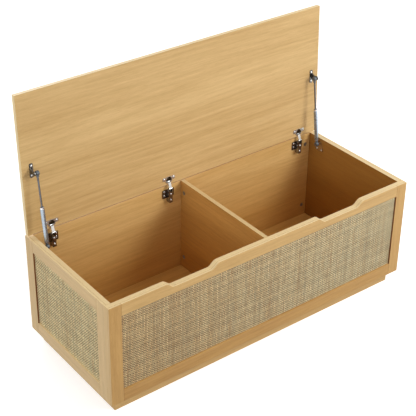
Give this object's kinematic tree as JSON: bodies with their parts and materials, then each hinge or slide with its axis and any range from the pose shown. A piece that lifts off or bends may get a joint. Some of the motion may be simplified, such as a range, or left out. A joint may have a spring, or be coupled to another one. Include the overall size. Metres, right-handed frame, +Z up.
{
  "type": "rattan storage bench",
  "caption": "Low oak storage bench with woven rattan panels, split bays and a hinged lid held open by gas struts.",
  "frame": {"origin": "on the floor, at the middle of the space that the bench takes up with its lid open", "axes": "+X along the bench to its right end, +Y to the back, +Z up; the front faces -Y"},
  "size_m": [1.2, 0.4902, 0.8875],
  "materials": {
    "bottom_board": "satin lacquered oak veneer",
    "back_board": "satin lacquered oak veneer",
    "divider_board": "satin lacquered oak veneer",
    "front_board": "satin lacquered oak veneer",
    "left_board": "satin lacquered oak veneer",
    "right_board": "satin lacquered oak veneer",
    "front_top_rail": "satin lacquered oak veneer",
    "front_bottom_rail": "satin lacquered oak veneer",
    "front_left_stile": "satin lacquered oak veneer",
    "front_right_stile": "satin lacquered oak veneer",
    "front_rattan": "woven natural rattan",
    "left_front_stile": "satin lacquered oak veneer",
    "left_back_stile": "satin lacquered oak veneer",
    "left_bottom_rail": "satin lacquered oak veneer",
    "left_top_rail": "satin lacquered oak veneer",
    "left_rattan": "woven natural rattan",
    "right_front_stile": "satin lacquered oak veneer",
    "right_back_stile": "satin lacquered oak veneer",
    "right_bottom_rail": "satin lacquered oak veneer",
    "right_top_rail": "satin lacquered oak veneer",
    "right_rattan": "woven natural rattan",
    "plinth_front": "satin lacquered oak veneer",
    "plinth_back": "satin lacquered oak veneer",
    "plinth_left": "satin lacquered oak veneer",
    "plinth_right": "satin lacquered oak veneer",
    "hinge_left_arm": "nickel-plated pressed steel",
    "hinge_left_plate": "nickel-plated pressed steel",
    "hinge_left_pin": "bright nickel-plated steel",
    "hinge_middle_arm": "nickel-plated pressed steel",
    "hinge_middle_plate": "nickel-plated pressed steel",
    "hinge_middle_pin": "bright nickel-plated steel",
    "hinge_right_arm": "nickel-plated pressed steel",
    "hinge_right_plate": "nickel-plated pressed steel",
    "hinge_right_pin": "bright nickel-plated steel",
    "strut_left_wall_bracket": "nickel-plated pressed steel",
    "strut_right_wall_bracket": "nickel-plated pressed steel",
    "cam_divider_upper": "dull zinc die casting",
    "cam_divider_lower": "dull zinc die casting",
    "cam_back_left_upper": "dull zinc die casting",
    "cam_back_left_lower": "dull zinc die casting",
    "cam_back_right_upper": "dull zinc die casting",
    "cam_back_right_lower": "dull zinc die casting",
    "hinge_left_link": "bright nickel-plated steel",
    "hinge_middle_link": "bright nickel-plated steel",
    "hinge_right_link": "bright nickel-plated steel",
    "lid_board": "satin lacquered oak veneer",
    "hinge_left_cup": "bright nickel-plated steel",
    "hinge_middle_cup": "bright nickel-plated steel",
    "hinge_right_cup": "bright nickel-plated steel",
    "strut_left_lid_bracket": "nickel-plated pressed steel",
    "strut_right_lid_bracket": "nickel-plated pressed steel",
    "strut_left_tube": "satin grey lacquered steel",
    "strut_left_tube_end": "moulded grey plastic",
    "strut_left_rod": "ground steel rod",
    "strut_left_rod_end": "moulded grey plastic",
    "strut_right_tube": "satin grey lacquered steel",
    "strut_right_tube_end": "moulded grey plastic",
    "strut_right_rod": "ground steel rod",
    "strut_right_rod_end": "moulded grey plastic"
  },
  "bodies": {
    "cabinet": {"bottom_board": "bottom_board", "back_board": "back_board", "divider_board": "divider_board", "front_board": "front_board", "left_board": "left_board", "right_board": "right_board", "front_top_rail": "front_top_rail", "front_bottom_rail": "front_bottom_rail", "front_left_stile": "front_left_stile", "front_right_stile": "front_right_stile", "front_rattan": "front_rattan", "left_front_stile": "left_front_stile", "left_back_stile": "left_back_stile", "left_bottom_rail": "left_bottom_rail", "left_top_rail": "left_top_rail", "left_rattan": "left_rattan", "right_front_stile": "right_front_stile", "right_back_stile": "right_back_stile", "right_bottom_rail": "right_bottom_rail", "right_top_rail": "right_top_rail", "right_rattan": "right_rattan", "plinth_front": "plinth_front", "plinth_back": "plinth_back", "plinth_left": "plinth_left", "plinth_right": "plinth_right", "hinge_left_arm": "hinge_left_arm", "hinge_left_plate": "hinge_left_plate", "hinge_left_pin": "hinge_left_pin", "hinge_middle_arm": "hinge_middle_arm", "hinge_middle_plate": "hinge_middle_plate", "hinge_middle_pin": "hinge_middle_pin", "hinge_right_arm": "hinge_right_arm", "hinge_right_plate": "hinge_right_plate", "hinge_right_pin": "hinge_right_pin", "strut_left_wall_bracket": "strut_left_wall_bracket", "strut_right_wall_bracket": "strut_right_wall_bracket", "cam_divider_upper": "cam_divider_upper", "cam_divider_lower": "cam_divider_lower", "cam_back_left_upper": "cam_back_left_upper", "cam_back_left_lower": "cam_back_left_lower", "cam_back_right_upper": "cam_back_right_upper", "cam_back_right_lower": "cam_back_right_lower"},
    "hinge_links": {"hinge_left_link": "hinge_left_link", "hinge_middle_link": "hinge_middle_link", "hinge_right_link": "hinge_right_link"},
    "lid": {"lid_board": "lid_board", "hinge_left_cup": "hinge_left_cup", "hinge_middle_cup": "hinge_middle_cup", "hinge_right_cup": "hinge_right_cup", "strut_left_lid_bracket": "strut_left_lid_bracket", "strut_right_lid_bracket": "strut_right_lid_bracket"},
    "strut_tube_left": {"strut_left_tube": "strut_left_tube", "strut_left_tube_end": "strut_left_tube_end"},
    "strut_rod_left": {"strut_left_rod": "strut_left_rod", "strut_left_rod_end": "strut_left_rod_end"},
    "strut_tube_right": {"strut_right_tube": "strut_right_tube", "strut_right_tube_end": "strut_right_tube_end"},
    "strut_rod_right": {"strut_right_rod": "strut_right_rod", "strut_right_rod_end": "strut_right_rod_end"}
  },
  "joints": [
    {"name": "hinge_link_swing", "type": "hinge", "parent": "cabinet", "child": "hinge_links", "pos_m": [0, 0.19985, 0.39918], "axis": [1, 0, 0], "range_deg": [-30.01, 0]},
    {"name": "lid_turn", "type": "hinge", "parent": "cabinet", "child": "lid", "pos_m": [0, 0.2218, 0.42054], "axis": [1, 0, 0], "range_deg": [0, 92.5]},
    {"name": "strut_left_swing", "type": "hinge", "parent": "cabinet", "child": "strut_tube_left", "pos_m": [-0.5615, 0.15988, 0.386], "axis": [1, 0, 0], "range_deg": [0, 98.99]},
    {"name": "strut_left_slide", "type": "slide", "parent": "strut_tube_left", "child": "strut_rod_left", "axis": [0, 0.1328, 0.9911], "range_m": [-0.10019, 0]},
    {"name": "strut_right_swing", "type": "hinge", "parent": "cabinet", "child": "strut_tube_right", "pos_m": [0.5615, 0.15988, 0.386], "axis": [1, 0, 0], "range_deg": [0, 98.99]},
    {"name": "strut_right_slide", "type": "slide", "parent": "strut_tube_right", "child": "strut_rod_right", "axis": [0, 0.1328, 0.9911], "range_m": [-0.10019, 0]}
  ],
  "couplings": [
    {"joint": "hinge_link_swing", "follows": "lid_turn", "ratio": -0.32432},
    {"joint": "strut_left_swing", "follows": "lid_turn", "ratio": 1.07},
    {"joint": "strut_left_slide", "follows": "lid_turn", "m_per_rad": -0.061999},
    {"joint": "strut_right_swing", "follows": "lid_turn", "ratio": 1.07},
    {"joint": "strut_right_slide", "follows": "lid_turn", "m_per_rad": -0.061999}
  ]
}
